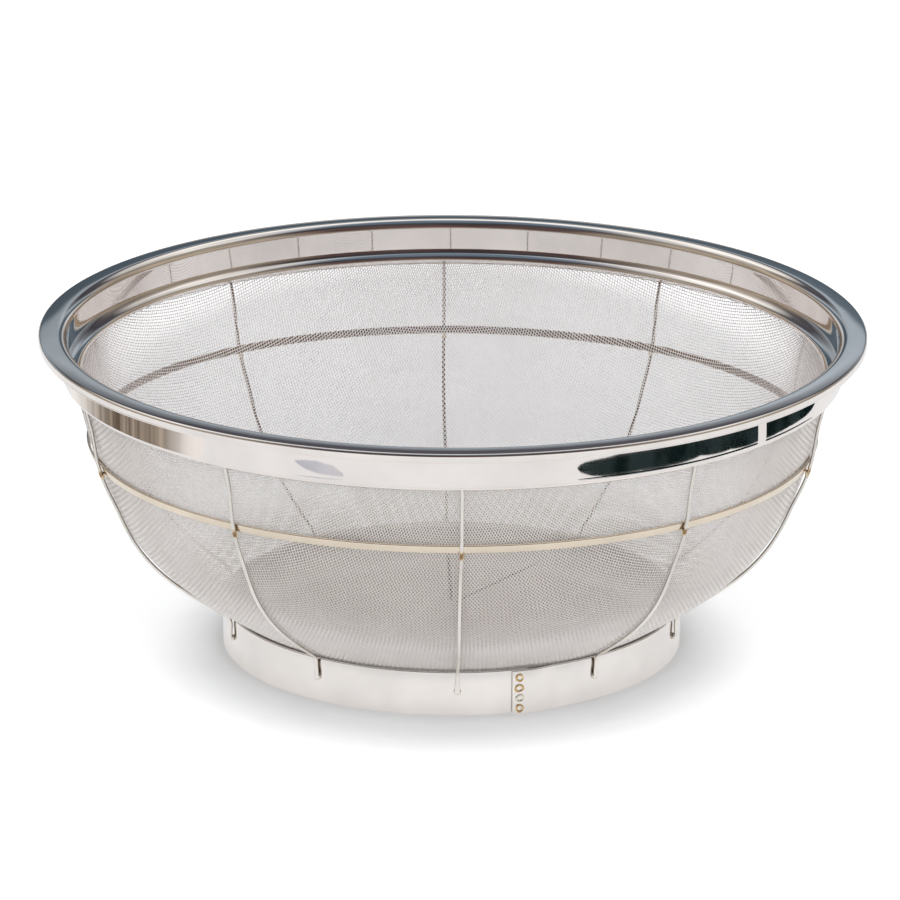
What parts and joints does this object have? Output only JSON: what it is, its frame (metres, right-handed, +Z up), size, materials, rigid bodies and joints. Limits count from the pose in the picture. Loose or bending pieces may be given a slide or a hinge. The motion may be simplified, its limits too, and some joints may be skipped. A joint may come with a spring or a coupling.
{
  "type": "wire mesh colander",
  "caption": "Round colander: a woven wire bowl clamped in a polished rolled rim, stiffened by a belt and wire ribs, standing on a lapped foot ring; it drains or sifts food.",
  "frame": {"origin": "on the table under the middle of the bowl, in the plane of the foot ring's lower edge", "axes": "+Z up along the bowl's axis, -Y to the front where one rib lies, +X to the right"},
  "size_m": [0.32, 0.32, 0.127],
  "materials": {
    "rim_steel": "polished stainless steel",
    "mesh_steel": "bright drawn wire, plain weave",
    "belt_steel": "bright strip with a warm heat tint",
    "wire_steel": "bright drawn wire",
    "foot_steel": "polished strip"
  },
  "bodies": {
    "root": {"rim_band": "rim_steel", "rim_skirt": "rim_steel", "mesh_bowl": "mesh_steel", "belt_band": "belt_steel", "rib_01": "wire_steel", "rib_02": "wire_steel", "rib_03": "wire_steel", "rib_04": "wire_steel", "rib_05": "wire_steel", "rib_06": "wire_steel", "rib_07": "wire_steel", "rib_08": "wire_steel", "rib_09": "wire_steel", "rib_10": "wire_steel", "foot_ring": "foot_steel"}
  },
  "joints": []
}
